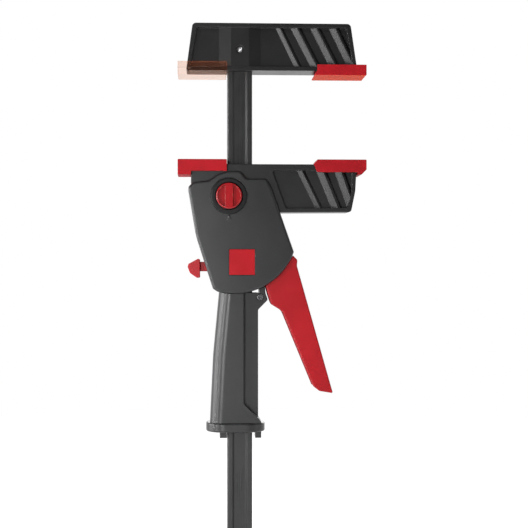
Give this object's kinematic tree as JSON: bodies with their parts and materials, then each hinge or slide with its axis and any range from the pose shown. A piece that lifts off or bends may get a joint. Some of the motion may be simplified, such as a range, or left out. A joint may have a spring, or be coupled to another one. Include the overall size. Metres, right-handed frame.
{
  "type": "quick release bar clamp",
  "caption": "One-handed bar clamp: a lever-driven jaw runs along a hollow bar to a fixed jaw, with a quick release and a clamp or spread selector.",
  "frame": {"origin": "centre of the bar's free end face", "axes": "+Z along the bar to the fixed jaw, +X to the long jaws, +Y to the back of the clamp"},
  "size_m": [0.1412, 0.0352, 0.4136],
  "materials": {
    "bar_steel": "black oxide, semi-gloss",
    "charcoal_plastic": "fine satin moulding",
    "black_plastic": "plain moulding",
    "red_plastic": "satin red moulding",
    "red_pad": "soft red pad",
    "clear_pad": "see-through reddish pad",
    "bright_steel": "bright plated",
    "plain_steel": "hardened plate",
    "spring_steel": "drawn wire"
  },
  "bodies": {
    "bar": {"bar": "bar_steel", "bar_end_cap": "black_plastic", "bar_stop_pin": "bright_steel", "fixed_jaw": "charcoal_plastic", "fixed_jaw_pin": "bright_steel", "fixed_jaw_long_pad": "red_pad", "fixed_jaw_short_pad": "clear_pad"},
    "carriage": {"sliding_jaw": "charcoal_plastic", "upper_bar_guide": "black_plastic", "lower_bar_guide": "black_plastic", "sliding_jaw_long_pad": "red_pad", "sliding_jaw_short_pad": "red_pad", "front_cover": "charcoal_plastic", "back_cover": "charcoal_plastic", "cover_screws": "bright_steel", "badge_inlay": "red_plastic", "selector_bezel": "black_plastic", "lever_pivots": "bright_steel", "clamp_drive_spring": "spring_steel", "spread_drive_spring": "spring_steel", "clamp_brake_spring": "spring_steel", "spread_brake_spring": "spring_steel", "grip_front_shell": "charcoal_plastic", "grip_back_shell": "charcoal_plastic", "grip_screw": "bright_steel", "grip_collar": "charcoal_plastic"},
    "lever": {"lever": "red_plastic", "lever_noses": "bright_steel"},
    "clamp_drive": {"clamp_drive_plate": "plain_steel"},
    "spread_drive": {"spread_drive_plate": "plain_steel"},
    "clamp_brake": {"clamp_brake_plate": "plain_steel", "release_button": "red_plastic"},
    "spread_brake": {"spread_brake_plate": "plain_steel"},
    "selector": {"selector_knob": "red_plastic"}
  },
  "joints": [
    {"name": "carriage_slide", "type": "slide", "parent": "bar", "child": "carriage", "axis": [0, 0, 1], "range_m": [-0.097, 0.0626]},
    {"name": "lever_squeeze", "type": "hinge", "parent": "carriage", "child": "lever", "pos_m": [-0.0045, 0, 0.2588], "axis": [0, 1, 0], "range_deg": [0, 18], "stiffness_Nm_per_rad": 2.5, "springref_deg": -8.59},
    {"name": "clamp_plate_stroke", "type": "slide", "parent": "carriage", "child": "clamp_drive", "axis": [0, 0, -1], "range_m": [0, 0.00646], "deforming": ["clamp_drive_spring"]},
    {"name": "spread_plate_stroke", "type": "slide", "parent": "carriage", "child": "spread_drive", "axis": [0, 0, 1], "range_m": [0, 0.00583], "deforming": ["spread_drive_spring"]},
    {"name": "release_press", "type": "hinge", "parent": "carriage", "child": "clamp_brake", "pos_m": [0.021, 0, 0.2315], "axis": [0, -1, 0], "range_deg": [0, 3.5], "stiffness_Nm_per_rad": 2, "springref_deg": -1.72, "deforming": ["clamp_brake_spring"]},
    {"name": "selector_turn", "type": "hinge", "parent": "carriage", "child": "selector", "pos_m": [-0.0083, -0.015, 0.2841], "axis": [0, -1, 0], "range_deg": [0, 90]},
    {"name": "spread_brake_tilt", "type": "hinge", "parent": "carriage", "child": "spread_brake", "pos_m": [0.014, 0, 0.2874], "axis": [0, 1, 0], "range_deg": [0, 2.62], "deforming": ["spread_brake_spring"]}
  ],
  "couplings": [
    {"joint": "clamp_plate_stroke", "follows": "lever_squeeze", "m_per_rad": 0.020416},
    {"joint": "spread_plate_stroke", "follows": "lever_squeeze", "m_per_rad": 0.018409},
    {"joint": "spread_brake_tilt", "follows": "selector_turn", "ratio": 0.028548}
  ]
}
